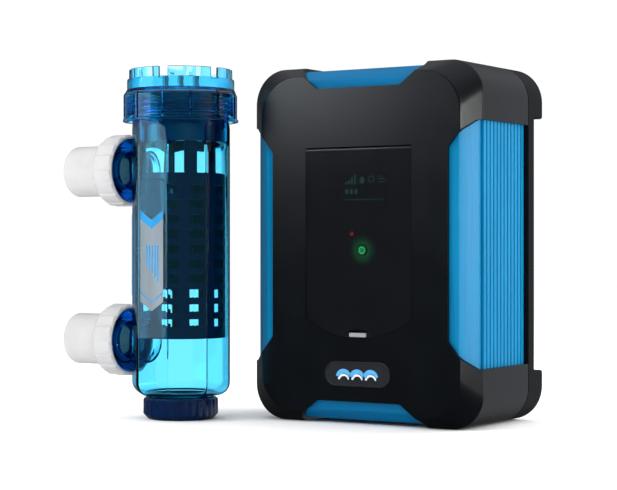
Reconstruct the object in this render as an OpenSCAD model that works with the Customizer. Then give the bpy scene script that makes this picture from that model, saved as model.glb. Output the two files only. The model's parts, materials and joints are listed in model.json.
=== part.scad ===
/* [Layout] */
// Distance from the cell's axis to the controller's middle plane
unit_spacing = 181; // [180:1:260]
// How far the cell's axis stands in front of the controller's front face
cell_forward = 29; // [20:1:40]

/* [Controller] */
// Width of the controller across its black corners
body_w = 245; // [240:1:250]
// Height of the controller
body_h = 334; // [330:1:340]
// Width of the flat front face
front_w = 213; // [210:1:216]
// Height of the flat front face
front_h = 315; // [312:1:318]
// Depth of the sloping edge round the front face
edge_d = 14.5; // [13:0.5:16]
// Depth at which the front cover meets the back housing
seam_y = 107; // [106:1:110]
// Depth of the casing, without its rear bumpers
case_d = 118.5; // [118:0.5:120]
// Depth with the rear bumpers
body_d = 136.5; // [135:0.5:138]
// Wall thickness of the casing
case_wall = 3; // [2.5:0.5:3]

/* [Window] */
// Width of the smoked window
window_w = 113; // [110:1:116]
// Height of the window's top edge above the controller's middle
window_top = 90; // [88:1:92]
// Depth of the window's curved bottom edge below the controller's middle
window_bottom = 87; // [85:1:88]
// Radius of the window's curved bottom edge
window_arc = 94.5; // [90:0.5:100]
// Radius of the barrel along the window's top edge
barrel_r = 2.2; // [2.1:0.1:2.4]

/* [Cell] */
// Distance across the flats of the eight-sided housing
cell_flats = 90; // [88:1:91]
// Wall thickness of the housing
cell_wall = 2.7; // [2.4:0.1:3]
// Height of the cell from the drain cap to the crown's rim
cell_h = 334.5; // [334:0.5:336]
// Radius of the collar's skirt with its ribs
skirt_r = 55.5; // [55:0.5:56]
// Height of the lower port's axis
port_low = 73.5; // [73:0.5:75]
// Distance between the two ports
port_pitch = 166; // [164:1:168]
// Number of columns of windows round the cage
cage_columns = 10; // [8:2:12]
// Number of rows of windows in the cage
cage_rows = 10; // [8:1:10]
// Number of electrode plates
plate_count = 9; // [7:2:9]

/* [Pipe unions] */
// Distance from the cell's axis to the open end of a tail
tail_reach = 126.5; // [124:0.5:130]
// Outer radius of a pipe tail
tail_r = 25; // [24.5:0.1:25]
// Radius of the pipe socket in a tail
socket_r = 20.1; // [20.05:0.05:20.2]
// Outer radius of a union nut over its grips
nut_r = 35.3; // [35:0.1:36]
// Thread pitch of the union nuts
union_pitch = 4; // [3:0.5:5]

/* [Hidden] */

$fn = 64;
hull_fn = 32;
eps = 0.01;

// The origin lies on the floor, under the middle of the pair
pair_w = unit_spacing + tail_reach + body_w / 2;
pair_d = cell_forward + skirt_r + body_d;
ctrl_x = pair_w / 2 - body_w / 2;
ctrl_y = pair_d / 2 - body_d;
mid_z = body_h / 2;
cell_x = ctrl_x - unit_spacing;
cell_y = ctrl_y - cell_forward;

// Casing
front_r = 38;
body_r = 33;
bumper_len = 48;
trim_inset = 4;
trim_y = 4;
trim_t = 3;
notch_side = [[94, 87.3], [106.5, 102.5], [118.5, 111.6], [body_w, 111.6]];
notch_end = [[44.4, 145.4], [60.3, 157.6], [66, 163], [66, body_h]];
tub_w = 222;
tub_h = 318;
tub_r = 46;
tub_y = 20;
tub_wall = 2.5;
floor_y = 115;
rib_count = 12;
rib_w = 5.5;
rib_h = 3;
rib_start = 22.5;
groove_start = 16.4;
groove_h = 4;
sink_t = 6;

// Each cover screw stands this far out along X and Z from its corner's centre
screw_out = 17.6;
boss_r = 5.4;
boss_len = 47;
screw_bore = 2;
screw_bore_d = 16;

// Window and controls
window_y = 0.3;
window_t = 2.4;
window_gap = 0.4;
lip_w = 2.6;
fascia_y = 9;
fascia_t = 2.5;
pin_r = 1.1;
fit = 0.05;
latch_w = 18;
latch_h = 3.7;
latch_z = -85.4;
latch_travel = 2.5;
display_z = 52;
display_w = 58;
display_h = 34;
power_z = -5.4;
key_z = -38;
key_spacing = 22;
key_r = 5;
lens_x = -11.5;
lens_z = 9.8;
lens_r = 1.9;
board_y = 18;

// Cell
cell_in = cell_flats / 2 - cell_wall;
housing_low = 22;
housing_top = 306;
base_round = 13;
neck_r = 29.8;
skirt_low = 284.5;
skirt_top = 310.5;
crown_r = 49.8;
crown_step_r = 51.5;
crown_wall = 3;
crown_floor = 314;
crown_step = 325;
notch_w = 8.4;
notch_depth = 10.7;
notch_turn = 47;
thread_r = 49.6;
mouth_r = 47.4;
bore_r = 42;
head_low = 265;
head_r = 41.6;
head_flange_r = 49.4;
head_top = 310.4;
cage_r = 41.7;
cage_t = 2;
cage_low = 78;
cage_top = 235;
cage_row_low = 92.5;
cage_row_pitch = 14.1;
cage_win_h = 8.2;
cage_win_w = 15.2;
cage_win_turn = 22.4;
post_turn = 50;
plate_low = 129;
plate_top = 226;
plate_t = 1.2;
plate_pitch = 7.6;

// Unions, measured outwards from the cell's axis
ring_r = 31;
ring_in = 59.5;
ring_out = 72;
port_r = 16;
port_neck_r = 19.3;
port_mouth_r = 22;
nut_in = 59;
nut_out = 83.6;
nut_grips = 16;
tail_flange_r = 30.2;
tail_flange_t = 5;
socket_depth = 30;

// Drain cap
cap_r = 35.9;
cap_h = 20.2;
cap_floor = 4;
cap_ribs = 30;
cap_in_r = 32.2;
spigot_low = 6.2;

module at_controller() translate([ctrl_x, ctrl_y, mid_z]) children();
module at_cell() translate([cell_x, cell_y, 0]) children();
module at_port(z) at_cell() translate([0, 0, z]) rotate([0, -90, 0]) children();

// Extrudes an outline seen from the front, from depth y0 to depth y1
module from_front(y0, y1) rotate([90, 0, 0]) translate([0, 0, -y1]) linear_extrude(y1 - y0) children();

module round_rect(w, h, r) {
    square([w - 2 * r, h], center = true);
    square([w, h - 2 * r], center = true);
    for (sx = [-1, 1], sy = [-1, 1])
        translate([sx * (w / 2 - r), sy * (h / 2 - r)]) circle(r);
}

// Turned piece from a list of [radius, height] corners
module turned(profile) rotate_extrude() polygon(profile);

module ring(r_out, r_in, h) difference() {
    cylinder(r = r_out, h = h);
    translate([0, 0, -1]) cylinder(r = r_in, h = h + 2);
}

function octagon_r(flats) = flats / 2 / cos(22.5);
module octagon(flats) rotate(22.5) circle(octagon_r(flats), $fn = 8);

// ---- Controller casing ----

// The casing's outer form, drawn in by t, from the front face to depth y1
module case_form(t, y1) {
    hull() {
        from_front(t, t + eps) round_rect(front_w - 2 * t, front_h - 2 * t, front_r - t, $fn = hull_fn);
        from_front(edge_d, edge_d + eps)
            round_rect(body_w - 2 * t, body_h - 2 * t, body_r - t, $fn = hull_fn);
    }
    from_front(edge_d, y1) round_rect(body_w - 2 * t, body_h - 2 * t, body_r - t);
}

// An outline's points in reverse order, each multiplied by the signs in f
function reflected(points, f) = [for (i = [len(points) - 1:-1:0]) [f.x * points[i].x, f.y * points[i].y]];

// Openings in the casing for the blue trims, as seen from the front
module trim_notches() for (s = [-1, 1]) {
    polygon(concat([for (p = notch_side) [s * p.x, p.y]], reflected(notch_side, [s, -1])));
    polygon(concat([for (p = notch_end) [p.x, s * p.y]], reflected(notch_end, [-1, s])));
}

// Outline of the window, grown by g, as seen from the front
module window_outline(g = 0) {
    intersection() {
        translate([-window_w / 2 - g, -window_bottom - g])
            square([window_w + 2 * g, window_top + window_bottom + 2 * g]);
        translate([0, window_arc - window_bottom]) union() {
            circle(window_arc + g, $fn = 128);
            translate([-window_w, 0]) square([2 * window_w, window_top]);
        }
    }
}

module front_cover() color("#1b1d21") at_controller() difference() {
    union() {
        difference() {
            case_form(0, seam_y);
            case_form(case_wall, seam_y + 1);
            from_front(-1, seam_y + 1) trim_notches();
        }
        from_front(case_wall - eps, fascia_y - 0.2) window_outline(window_gap + lip_w);
        for (p = screw_places()) translate([p.x, seam_y - boss_len, p.y])
            rotate([-90, 0, 0]) cylinder(r = boss_r, h = boss_len);
    }
    from_front(-1, fascia_y + 1) window_outline(window_gap);
    translate([-window_w / 2 - 2, barrel_axis_y(), barrel_axis_z()])
        rotate([0, 90, 0]) cylinder(r = pin_r, h = window_w + 4, $fn = 32);
    for (p = screw_places()) translate([p.x, seam_y - screw_bore_d, p.y])
        rotate([-90, 0, 0]) cylinder(r = screw_bore, h = screw_bore_d + 4);
}

function barrel_axis_y() = window_y + barrel_r;
function barrel_axis_z() = window_top - barrel_r;
function screw_places() = [for (sx = [-1, 1], sz = [-1, 1])
    [sx * (body_w / 2 - body_r + screw_out), sz * (body_h / 2 - body_r + screw_out)]];

module back_housing() color("#17191c") at_controller() difference() {
    union() {
        from_front(seam_y, case_d) round_rect(body_w, body_h, body_r);
        from_front(tub_y, case_d) round_rect(tub_w, tub_h, tub_r);
    }
    from_front(tub_y - 1, floor_y) round_rect(tub_w - 2 * tub_wall, tub_h - 2 * tub_wall, tub_r - tub_wall);
    for (p = screw_places()) translate([p.x, seam_y - 1, p.y]) rotate([-90, 0, 0]) {
        cylinder(r = 2.2, h = 20);
        translate([0, 0, 8.5]) cylinder(r = 4.2, h = 12);
    }
    for (sx = [-1, 1]) translate([sx * gland_x, gland_y, -body_h / 2 - 1]) cylinder(r = gland_r, h = 16);
}

// Cross-section of a heat sink, seen from above; it leans on the casing's right side
module heat_sink_outline() {
    x = body_w / 2 - trim_inset;
    end_y = seam_y - 0.3;
    polygon([[86, trim_y], [front_w / 2 - 3.5, trim_y], [x, edge_d + 0.5], [x, groove_start],
        [x - groove_h, groove_start], [x - groove_h, rib_start], [x - rib_h, rib_start],
        [x - rib_h, end_y], [x - sink_t, end_y], [x - sink_t, edge_d + 3],
        [front_w / 2 - 5, trim_y + trim_t], [86, trim_y + trim_t]]);
    for (i = [0:rib_count - 1])
        translate([x - rib_h - eps, rib_start + i * (end_y - rib_start) / rib_count])
            square([rib_h + eps, rib_w]);
}

module heat_sink(side) at_controller() translate([0, 0, -heat_sink_h / 2])
    mirror([side < 0 ? 1 : 0, 0, 0]) linear_extrude(heat_sink_h) heat_sink_outline();
heat_sink_h = 230;

module left_heat_sink() color("#1f93d6") heat_sink(-1);
module right_heat_sink() color("#1f93d6") heat_sink(1);

// Trim along the top or the bottom edge: a plate folded over the edge's chamfer
module edge_trim(side) at_controller() mirror([0, 0, side < 0 ? 1 : 0]) rotate([90, 0, 90])
    translate([0, 0, -trim_len / 2]) linear_extrude(trim_len) {
        z = body_h / 2 - trim_inset + 0.5;
        polygon([[trim_y, 139], [trim_y, front_h / 2 - 3.5], [edge_d, z], [seam_y - 0.3, z],
            [seam_y - 0.3, z - trim_t], [edge_d + 2, z - trim_t], [trim_y + trim_t, front_h / 2 - 5],
            [trim_y + trim_t, 139]]);
    }
trim_len = 146;

module top_trim() color("#1f93d6") edge_trim(1);
module bottom_trim() color("#1578b8") difference() {
    edge_trim(-1);
    at_controller() for (sx = [-1, 1])
        translate([sx * gland_x, gland_y, -body_h / 2 - 1]) cylinder(r = gland_r, h = 16);
}

module rear_bumpers() color("#1d1f23") at_controller() difference() {
    from_front(case_d, body_d) round_rect(body_w, body_h, body_r);
    from_front(case_d - 1, body_d + 1) {
        round_rect(body_w - 28, body_h - 28, body_r - 14);
        square([body_w + 2, body_h - 2 * bumper_len], center = true);
        square([body_w - 2 * bumper_len, body_h + 2], center = true);
    }
    for (p = screw_places()) translate([p.x, case_d - 1, p.y]) rotate([-90, 0, 0]) cylinder(r = 4.2, h = 30);
}

module cover_gasket() color("#2b2b2b") at_controller() from_front(tub_y - 2.5, tub_y - 0.1) difference() {
    round_rect(tub_w, tub_h, tub_r);
    round_rect(tub_w - 5, tub_h - 5, tub_r - 2.5);
}

module cover_screws() color("#b9bcc0") at_controller() for (p = screw_places())
    translate([p.x, seam_y + 7.4, p.y]) rotate([90, 0, 0]) {
        translate([0, 0, -3]) difference() {
            cylinder(r = 3.9, h = 2.8);
            translate([0, 0, -1]) cylinder(r = 1.9, h = 2.6, $fn = 6);
        }
        translate([0, 0, -0.25]) cylinder(r = 1.9, h = 22);
    }

plate_w = 120;
plate_h = 150;
plate_hole_r = 3.25;
plate_hole_x = 90;
plate_hole_z = 120;
module hanging_plate() color("#9aa0a6") at_controller() difference() {
    from_front(case_d, case_d + 3) round_rect(plate_w, plate_h, 8);
    for (sx = [-1, 1], sz = [-1, 1])
        translate([sx * plate_hole_x / 2, case_d - 1, sz * plate_hole_z / 2])
            rotate([-90, 0, 0]) cylinder(r = plate_hole_r, h = 5);
}

gland_x = 32;
gland_y = 66;
gland_r = 10.5;
gland_bore = 5;
module cable_glands() color("#202226") at_controller() for (sx = [-1, 1])
    translate([sx * gland_x, gland_y, -body_h / 2 + 0.8]) {
        ring(gland_r - 0.3, gland_bore, 15);
        ring(gland_r + 3, gland_r - 0.5, 2.4);
        translate([0, 0, 11.5]) ring(gland_r + 3, gland_r - 0.5, 3);
    }

badge_w = 70;
badge_h = 23;
badge_z = -119.7;
module badge_plate() color("#2a2c31") at_controller() translate([0, 0, badge_z])
    from_front(-0.9, 0) round_rect(badge_w, badge_h, badge_h / 2 - eps);

// Three rising wave crests, the badge's plain emblem
module badge_emblem() color("#3f9bdc") at_controller() translate([0, 0, badge_z])
    from_front(-1.4, -0.9) for (i = [-1:1]) translate([i * 15, -4]) difference() {
        circle(9);
        translate([0, -2.6]) circle(8.2);
        translate([-10, -10]) square([20, 8]);
    }

// ---- Window and controls ----

module window() color("#20242c") at_controller() difference() {
    union() {
        from_front(window_y, window_y + window_t) difference() {
            window_outline();
            translate([-window_w, barrel_axis_z()]) square([2 * window_w, 20]);
        }
        translate([-window_w / 2, barrel_axis_y(), barrel_axis_z()])
            rotate([0, 90, 0]) cylinder(r = barrel_r, h = window_w, $fn = 32);
    }
    translate([-window_w / 2 - 1, barrel_axis_y(), barrel_axis_z()])
        rotate([0, 90, 0]) cylinder(r = pin_r + fit, h = window_w + 2, $fn = 32);
    from_front(-1, 6) translate([-latch_w / 2 - 0.3, latch_z - 0.3])
        square([latch_w + 0.6, latch_h + latch_travel + 0.9]);
}

module hinge_pin() color("#aeb2b6") at_controller()
    translate([-window_w / 2 - 2, barrel_axis_y(), barrel_axis_z()])
        rotate([0, 90, 0]) cylinder(r = pin_r, h = window_w + 4, $fn = 32);

module window_latch() color("#d5d8da") at_controller() {
    from_front(0, 3.6) translate([-latch_w / 2, latch_z]) square([latch_w, latch_h]);
    from_front(3.1, 4.6) translate([-latch_w / 2 - 2, latch_z - 0.8]) square([latch_w + 4, latch_h + 0.8]);
}

module control_fascia() color("#16181c") at_controller() difference() {
    union() {
        from_front(fascia_y, fascia_y + fascia_t) round_rect(2 * (window_w / 2 + 4), 2 * (window_top + 4), 4);
        for (sx = [-1, 1], sz = [-1, 1]) translate([sx * 52, fascia_y + 1, sz * 82])
            rotate([-90, 0, 0]) cylinder(r = 3.4, h = board_y - fascia_y - 1);
    }
    from_front(fascia_y - 1, fascia_y + fascia_t + 1) {
        translate([0, display_z]) square([display_w - 4, display_h - 4], center = true);
        translate([0, power_z]) circle(key_r + 0.35);
        for (i = [-1:1]) translate([i * key_spacing, key_z]) circle(key_r + 0.35);
        translate([lens_x, lens_z]) circle(lens_r + 0.1);
    }
}

module display() color("#101d20") at_controller()
    from_front(fascia_y + fascia_t, fascia_y + fascia_t + 5) translate([0, display_z])
        round_rect(display_w + 4, display_h + 6, 2);

// A round key with a rim that its hole in the fascia holds
module key(x, z, proud) at_controller() translate([x, 0, z]) {
    from_front(fascia_y - proud, fascia_y + fascia_t + 1) circle(key_r);
    from_front(fascia_y + fascia_t + 0.3, fascia_y + fascia_t + 1.5) circle(key_r + 1.6);
}

module power_button() color("#2fb45a") key(0, power_z, 1.2);
module menu_key() color("#3b3f45") key(-key_spacing, key_z, 1.2);
module up_key() color("#3b3f45") key(0, key_z, 1.2);
module down_key() color("#3b3f45") key(key_spacing, key_z, 1.2);

module indicator_lens() color("#8a1f1f") at_controller() translate([lens_x, 0, lens_z])
    from_front(fascia_y - 0.4, fascia_y + fascia_t + 3) circle(lens_r);

module control_board() color("#1d5a34") at_controller() difference() {
    from_front(board_y, board_y + 1.6) square([116, 176], center = true);
    for (sx = [-1, 1], sz = [-1, 1]) translate([sx * 52, board_y - 1, sz * 82])
        rotate([-90, 0, 0]) cylinder(r = 1.7, h = 4);
}

module power_board() color("#2a6b3e") at_controller() {
    from_front(100, 101.6) translate([0, 70]) square([190, 130], center = true);
    for (sx = [-1, 1], sz = [-1, 1]) from_front(101.6, floor_y) translate([sx * 86, 70 + sz * 56]) circle(4);
    for (sx = [-1:1]) from_front(72, 100) translate([sx * 32 - 30, 100]) circle(11);
}

module transformer() color("#8c6a3a") at_controller() translate([0, floor_y, -86]) rotate([90, 0, 0]) {
    ring(52, 16, 46);
    translate([0, 0, 46]) cylinder(r = 24, h = 2.5);
    cylinder(r = 5, h = 46);
}

module heat_spreader() color("#a8adb2") at_controller() from_front(76, 99.9) translate([62, 66]) {
    square([44, 8], center = true);
    for (i = [-3:3]) translate([i * 6.6, 10]) square([2, 20], center = true);
}

module terminal_block() color("#3c7f58") at_controller() difference() {
    from_front(86, floor_y) translate([0, -148]) square([92, 14], center = true);
    for (i = [-3:3]) translate([i * 12.5, 85, -148]) rotate([-90, 0, 0]) cylinder(r = 3, h = 8);
}

module fuse_holder() color("#26282b") at_controller() translate([74, floor_y, -120]) rotate([90, 0, 0]) {
    cylinder(r = 9, h = 34);
    translate([0, 0, 34]) cylinder(r = 6.5, h = 9);
}

// ---- Cell housing ----

// Eight-sided prism from height z0 to z1 whose lower edges are rounded
module rounded_prism(flats, z0, z1, r) {
    reach = octagon_r(flats) + 1;
    intersection() {
        translate([0, 0, z0]) linear_extrude(z1 - z0) octagon(flats);
        rotate_extrude() {
            translate([0, z0]) square([reach - r, z1 - z0]);
            translate([0, z0 + r]) square([reach, z1 - z0 - r]);
            translate([reach - r, z0 + r]) circle(r);
        }
    }
}

// Raised panel that wraps from the front side of the prism to the side with the ports
panel_t = 0.6;
panel_low = 86.5;
panel_top = 228.6;
panel_half = 14.8;
panel_side_low = 121;
panel_side_top = 193;
module label_panel() intersection() {
    translate([0, 0, panel_low]) linear_extrude(panel_top - panel_low) octagon(cell_flats + 2 * panel_t);
    union() {
        translate([-panel_half, -60, panel_low + 4]) cube([2 * panel_half, 30, panel_top - panel_low - 8]);
        translate([-panel_half, -60, panel_low]) cube([2 * panel_half - 4, 30, panel_top - panel_low]);
        for (z = [panel_low + 4, panel_top - 4]) translate([panel_half - 4, -30, z])
            rotate([90, 0, 0]) cylinder(r = 4, h = 30, $fn = 32);
        rotate([0, 0, -45]) rotate([90, 0, 0]) linear_extrude(60) polygon([[22, panel_low + 1],
            [10, panel_low + 5], [-4, panel_side_low - 18], [-20, panel_side_low],
            [-20, panel_side_top], [-4, panel_side_top + 18], [10, panel_top - 5], [22, panel_top - 1]]);
        translate([-60, -24, panel_side_low]) cube([30, 38, panel_side_top - panel_side_low]);
    }
}

module port_solid(z) at_port(z) {
    cylinder(r = port_neck_r, h = ring_out);
    translate([0, 0, ring_in]) cylinder(r = ring_r - 1.2, h = ring_out - ring_in);
    for (i = [0:2]) translate([0, 0, ring_in + i * union_pitch]) cylinder(r = ring_r, h = union_pitch / 2);
}

module port_hole(z) at_port(z) {
    cylinder(r = port_r, h = ring_out + 1);
    translate([0, 0, 40]) cylinder(r1 = port_mouth_r, r2 = port_r - 1, h = 8);
}

module cell_housing() color("#20a6dc") difference() {
    union() {
        at_cell() {
            rounded_prism(cell_flats, housing_low, housing_top - 18, base_round);
            translate([0, 0, housing_top - 30]) cylinder(r = mouth_r, h = 30);
            for (i = [0:2]) translate([0, 0, housing_top - 16.5 + i * 5]) ring(thread_r, mouth_r - 1, 2.5);
            translate([0, 0, spigot_low]) cylinder(r = neck_r, h = housing_low + 2 - spigot_low);
            for (i = [0:1]) translate([0, 0, spigot_low + 2 + i * 5]) ring(neck_r + 1.6, neck_r - 1, 2.5);
            label_panel();
        }
        for (z = port_heights()) port_solid(z);
    }
    at_cell() {
        rounded_prism(2 * cell_in, housing_low + cell_wall, housing_top - 40, base_round - cell_wall);
        translate([0, 0, housing_top - 41]) cylinder(r = bore_r, h = 60);
        translate([0, 0, spigot_low - 1]) cylinder(r = neck_r - 3.2, h = 30);
    }
    for (z = port_heights()) port_hole(z);
}

function port_heights() = [port_low, port_low + port_pitch];

// Silver label with pointed ends on the front side
label_half = 13.3;
label_low = 104;
label_top = 199;
label_point = 9;
chevron_h = 8;
module label_shape(z0, z1, point_low, point_top) polygon([[-label_half, z0 + point_low], [0, z0],
    [label_half, z0 + point_low], [label_half, z1], [0, z1 - point_top], [-label_half, z1]]);

module on_label(y0, y1) at_cell() translate([0, -cell_flats / 2 - panel_t, 0])
    from_front(-y1, -y0) children();

module label_band(z, h) label_shape(z, z + label_point + h, label_point, label_point);

module cell_label() color("#c9d3da") on_label(0, 0.35)
    label_shape(label_low, label_top, label_point, label_point);

module label_chevrons() color("#2f9fdc") on_label(0.35, 0.55) {
    label_band(label_top - label_point - chevron_h, chevron_h);
    label_band(label_low + chevron_h, 1.2);
}

// ---- Cartridge ----

module electrode_head() color("#0d2c4a") at_cell() difference() {
    union() {
        translate([0, 0, head_low]) cylinder(r = head_r, h = housing_top + 0.4 - head_low);
        translate([0, 0, housing_top + 0.3]) cylinder(r = head_flange_r, h = head_top - housing_top - 0.3);
    }
    translate([0, 0, head_low - 1]) cylinder(r = head_r - 4, h = 26);
    translate([0, 0, 286]) ring(head_r + 1, head_r - 2.2, 3.4);
    for (x = stud_places()) translate([x, 0, 280]) cylinder(r = stud_r, h = 40);
}

stud_r = 3;
function stud_places() = [-18, 0, 18];

module head_o_ring() color("#202020") at_cell() translate([0, 0, 287.7])
    rotate_extrude() translate([bore_r - 1.25, 0]) circle(1.2, $fn = 24);

module terminal_studs() color("#b8bcc0") at_cell() for (x = stud_places()) translate([x, 0, 0]) {
    translate([0, 0, 281]) cylinder(r = stud_r, h = 47);
    translate([0, 0, head_top]) cylinder(r = 6, h = 4, $fn = 6);
}

strap_x = 8.6;
strap_y = 6;
strap_w = 10;
strap_t = 2;
strap_low = 228;
strap_top = 290;
module electrode_straps() color("#5d6166") at_cell() for (s = [-1, 1])
    translate([s * strap_x - strap_w / 2, s * strap_y - strap_t / 2, strap_low])
        cube([strap_w, strap_t, strap_top - strap_low]);

// Tube with a grid of windows, hung from the head by three posts
module electrode_cage() color("#12283c") at_cell() difference() {
    union() {
        translate([0, 0, cage_low]) cylinder(r = cage_r, h = cage_top - cage_low);
        for (i = [0:2]) rotate(post_turn + 120 * i) translate([-6, -cage_r + 1.2, cage_top - 5])
            cube([12, 3, head_low - cage_top + 5]);
    }
    translate([0, 0, cage_low - 1]) cylinder(r = cage_r - cage_t, h = cage_top - cage_low + 2);
    for (i = [0:cage_columns / 2 - 1], k = [0:cage_rows - 1])
        rotate(cage_win_turn + i * 360 / cage_columns)
            translate([-cage_win_w / 2, -50, cage_row_low + k * cage_row_pitch - cage_win_h / 2])
                cube([cage_win_w, 100, cage_win_h]);
}

function plate_y(i) = (i - (plate_count - 1) / 2) * plate_pitch;
function plate_half(i) = sqrt(pow(cage_r - cage_t - 1.5, 2) - pow(abs(plate_y(i)) + plate_t / 2, 2));

module electrode_plates() color("#0b0d10") at_cell() for (i = [0:plate_count - 1])
    translate([-plate_half(i), plate_y(i) - plate_t / 2, plate_low])
        cube([2 * plate_half(i), plate_t, plate_top - plate_low]);

module plate_spacers() color("#30363c") at_cell() for (z = [plate_low + 6, plate_top - 10], s = [-1, 1])
    difference() {
        translate([s * 14 - 2, -34, z]) cube([4, 68, 4]);
        for (i = [0:plate_count - 1]) translate([s * 14 - 3, plate_y(i) - plate_t / 2 - 0.05, z - 1])
            cube([6, plate_t + 0.1, 6]);
    }

// ---- Collar ----

module collar_washer() color("#e6e8ea") at_cell() translate([0, 0, head_top + 0.05]) ring(48.6, 38, 0.9);

module collar() color("#22b4e6") at_cell() difference() {
    union() {
        turned([[thread_r + 0.5, skirt_low], [skirt_r, skirt_low], [skirt_r, skirt_low + 2],
            [skirt_r - 0.9, skirt_low + 2], [skirt_r - 0.9, skirt_top], [crown_step_r, crown_floor + 1],
            [crown_step_r, crown_step], [crown_r, crown_step + 1], [crown_r, cell_h],
            [crown_r - crown_wall, cell_h], [crown_r - crown_wall, crown_floor], [36, crown_floor],
            [36, head_top + 1.1], [thread_r + 0.5, head_top + 1.1]]);
        for (i = [0:11]) rotate(notch_turn + i * 30) translate([skirt_r - 2.5, -1.1, skirt_low + 1])
            cube([2.4, 2.2, skirt_top - skirt_low - 2]);
        for (i = [0:5]) rotate(notch_turn + 30 + i * 60) translate([crown_r - 1.5, -2.4, crown_floor + 3])
            cube([2.4, 4.8, cell_h - crown_floor - 4]);
    }
    for (i = [0:5]) rotate(notch_turn + i * 60) translate([30, -notch_w / 2, cell_h - notch_depth])
        cube([30, notch_w, notch_depth + 1]);
}

// ---- Pipe unions ----

module pipe_tail(z) at_port(z) difference() {
    union() {
        translate([0, 0, ring_out + 0.3]) cylinder(r = tail_flange_r, h = tail_flange_t);
        translate([0, 0, ring_out + 0.3]) cylinder(r = tail_r, h = tail_reach - ring_out - 0.3);
    }
    translate([0, 0, ring_out - 1]) cylinder(r = port_r, h = 80);
    translate([0, 0, tail_reach - socket_depth]) cylinder(r = socket_r, h = socket_depth + 1);
    translate([0, 0, ring_out]) ring(24.6, 19.8, 2.1);
}

module union_nut(z) at_port(z) difference() {
    union() {
        translate([0, 0, nut_in]) cylinder(r = nut_r - 1.4, h = nut_out - nut_in);
        for (i = [0:nut_grips - 1]) rotate(360 / nut_grips * i) translate([nut_r - 3, -4, nut_in])
            cube([3 - 0.25, 8, nut_out - nut_in - 2]);
    }
    translate([0, 0, nut_in - 1]) cylinder(r = ring_r + 0.3, h = ring_out + tail_flange_t + 0.7 - nut_in + 1);
    translate([0, 0, nut_in]) cylinder(r = tail_r + 0.5, h = 40);
}

module union_o_ring(z) at_port(z) translate([0, 0, ring_out + 1.05])
    rotate_extrude() translate([22.2, 0]) circle(1.0, $fn = 24);

module upper_tail() color("#f2f2f0") pipe_tail(port_low + port_pitch);
module upper_nut() color("#efefed") union_nut(port_low + port_pitch);
module upper_o_ring() color("#262626") union_o_ring(port_low + port_pitch);
module lower_tail() color("#f2f2f0") pipe_tail(port_low);
module lower_nut() color("#efefed") union_nut(port_low);
module lower_o_ring() color("#262626") union_o_ring(port_low);

// ---- Drain cap ----

module cap_gasket() color("#262626") at_cell() translate([0, 0, cap_floor + 0.1])
    ring(cap_in_r - 1, neck_r - 4, spigot_low - cap_floor - 0.2);

module drain_cap() color("#0c2a4c") at_cell() {
    turned([[0, 0], [cap_r - 5, 0], [cap_r - 0.8, 4.2], [cap_r - 0.8, cap_h], [cap_in_r, cap_h],
        [cap_in_r, cap_floor], [0, cap_floor]]);
    for (i = [0:cap_ribs - 1]) rotate(360 / cap_ribs * i) translate([cap_r - 1.8, -1.3, 5])
        cube([1.75, 2.6, cap_h - 6]);
}

front_cover();
back_housing();
left_heat_sink();
right_heat_sink();
top_trim();
bottom_trim();
rear_bumpers();
cover_gasket();
cover_screws();
hanging_plate();
cable_glands();
badge_plate();
badge_emblem();
window();
hinge_pin();
window_latch();
control_fascia();
display();
power_button();
menu_key();
up_key();
down_key();
indicator_lens();
control_board();
power_board();
transformer();
heat_spreader();
terminal_block();
fuse_holder();
cell_housing();
cell_label();
label_chevrons();
electrode_head();
head_o_ring();
terminal_studs();
electrode_straps();
electrode_cage();
electrode_plates();
plate_spacers();
collar_washer();
collar();
upper_tail();
upper_nut();
upper_o_ring();
lower_tail();
lower_nut();
lower_o_ring();
cap_gasket();
drain_cap();
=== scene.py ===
import json
import math

import bmesh
import bpy
from mathutils import Matrix, Vector

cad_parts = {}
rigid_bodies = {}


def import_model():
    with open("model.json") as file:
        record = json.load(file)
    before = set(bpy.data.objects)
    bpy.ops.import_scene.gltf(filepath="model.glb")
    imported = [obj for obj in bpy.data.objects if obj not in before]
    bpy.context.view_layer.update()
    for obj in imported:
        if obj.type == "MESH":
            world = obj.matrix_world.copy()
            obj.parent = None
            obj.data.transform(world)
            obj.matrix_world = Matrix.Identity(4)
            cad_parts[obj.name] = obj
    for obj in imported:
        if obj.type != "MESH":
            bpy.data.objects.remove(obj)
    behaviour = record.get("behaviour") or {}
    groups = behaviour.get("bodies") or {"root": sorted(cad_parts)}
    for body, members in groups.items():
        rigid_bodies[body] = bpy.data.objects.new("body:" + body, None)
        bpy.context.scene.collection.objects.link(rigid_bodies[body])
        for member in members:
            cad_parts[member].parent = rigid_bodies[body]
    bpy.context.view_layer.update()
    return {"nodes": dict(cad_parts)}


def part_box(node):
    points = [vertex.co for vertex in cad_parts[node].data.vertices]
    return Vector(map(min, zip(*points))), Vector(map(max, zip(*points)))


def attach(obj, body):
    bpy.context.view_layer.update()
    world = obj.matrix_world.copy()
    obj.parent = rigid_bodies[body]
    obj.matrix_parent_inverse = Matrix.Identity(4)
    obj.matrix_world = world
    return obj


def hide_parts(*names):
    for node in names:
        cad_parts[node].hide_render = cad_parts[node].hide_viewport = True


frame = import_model()

MM = 0.001

# Edges that turn more than this many degrees stay crisp
SHARP = 38

# ---- places, from the frame ----

cover_low, cover_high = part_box("front_cover")
cap_low, cap_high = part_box("drain_cap")
collar_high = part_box("collar")[1]
tail_low, tail_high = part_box("lower_tail")
upper_tail_low, upper_tail_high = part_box("upper_tail")

# Middle of the controller's front face
CONTROLLER = Vector(((cover_low.x + cover_high.x) / 2, cover_low.y, (cover_low.z + cover_high.z) / 2))
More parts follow.
